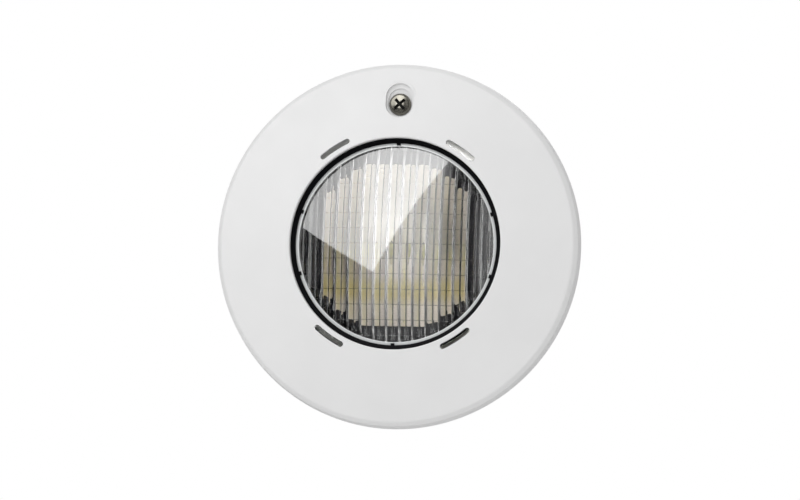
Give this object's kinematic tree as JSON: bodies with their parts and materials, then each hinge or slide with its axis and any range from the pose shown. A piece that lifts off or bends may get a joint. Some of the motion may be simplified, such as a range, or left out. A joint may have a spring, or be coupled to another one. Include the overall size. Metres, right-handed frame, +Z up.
{
  "type": "underwater pool light",
  "caption": "Round white-faced underwater lamp in a wall niche: a ribbed clear lens over a reflector and halogen capsule, hooked below and locked by one screw above.",
  "frame": {"origin": "centre of the round opening in the pool wall, on the wall's surface", "axes": "+Z up, the light shines along -Y, +X to the right as a swimmer facing the light sees it"},
  "size_m": [0.3, 0.1691, 0.3],
  "materials": {
    "white_plastic": "satin white ABS",
    "niche_plastic": "moulded white ABS",
    "black_plastic": "moulded black plastic",
    "rubber": "matte",
    "stainless_steel": "brushed",
    "brass": "machined",
    "lens_glass": "clear, fluted",
    "quartz": "clear quartz",
    "reflector_mirror": "bright metallised",
    "tungsten": "drawn tungsten wire",
    "ceramic": "unglazed steatite",
    "nylon": "natural nylon",
    "red_insulation": "silicone sleeve",
    "black_insulation": "silicone sleeve"
  },
  "bodies": {
    "niche": {"niche_tube": "niche_plastic", "niche_flange": "niche_plastic", "niche_end_cap": "niche_plastic", "water_stop_ring": "niche_plastic", "flange_gasket": "rubber", "clamp_flange": "white_plastic", "clamp_screw_1": "stainless_steel", "clamp_screw_2": "stainless_steel", "clamp_screw_3": "stainless_steel", "clamp_screw_4": "stainless_steel", "clamp_screw_5": "stainless_steel", "clamp_screw_6": "stainless_steel", "clamp_screw_7": "stainless_steel", "clamp_screw_8": "stainless_steel", "bottom_hook": "stainless_steel", "hook_screw_1": "stainless_steel", "hook_screw_2": "stainless_steel", "pilot_insert": "brass", "conduit_gland_body": "black_plastic", "conduit_gland_locknut": "black_plastic", "conduit_gland_seal": "rubber", "conduit_gland_cap": "black_plastic"},
    "light_unit": {"face_plate": "white_plastic", "lens": "lens_glass", "lens_clamp_ring": "black_plastic", "lens_gasket": "rubber", "housing_rim": "black_plastic", "lamp_housing": "black_plastic", "ring_screw_1": "stainless_steel", "ring_screw_2": "stainless_steel", "ring_screw_3": "stainless_steel", "ring_screw_4": "stainless_steel", "ring_screw_5": "stainless_steel", "ring_screw_6": "stainless_steel", "shade_bezel": "black_plastic", "reflector": "reflector_mirror", "bulb_envelope": "quartz", "bulb_filament": "tungsten", "bulb_base": "ceramic", "lamp_socket": "ceramic", "socket_bracket": "stainless_steel", "socket_screw_1": "stainless_steel", "socket_screw_2": "stainless_steel", "terminal_block": "nylon", "lead_red": "red_insulation", "lead_black": "black_insulation", "cable_gland_body": "black_plastic", "cable_gland_seal": "rubber", "cable_gland_cap": "black_plastic"},
    "screw_retainer": {"captive_washer": "nylon"},
    "pilot_screw": {"pilot_screw": "stainless_steel"}
  },
  "joints": [
    {"name": "light_tilt", "type": "hinge", "parent": "niche", "child": "light_unit", "pos_m": [0, -0.001, -0.15], "axis": [1, 0, 0], "range_deg": [0, 12]},
    {"name": "pilot_screw_travel", "type": "slide", "parent": "light_unit", "child": "screw_retainer", "axis": [0, -1, 0], "range_m": [0, 0.006]},
    {"name": "pilot_screw_turn", "type": "hinge", "parent": "screw_retainer", "child": "pilot_screw", "pos_m": [0, -0.0165, 0.1148], "axis": [0, -1, 0], "range_deg": [0, 2160]}
  ],
  "couplings": [
    {"joint": "pilot_screw_travel", "follows": "pilot_screw_turn", "m_per_rad": 0.00015915}
  ]
}
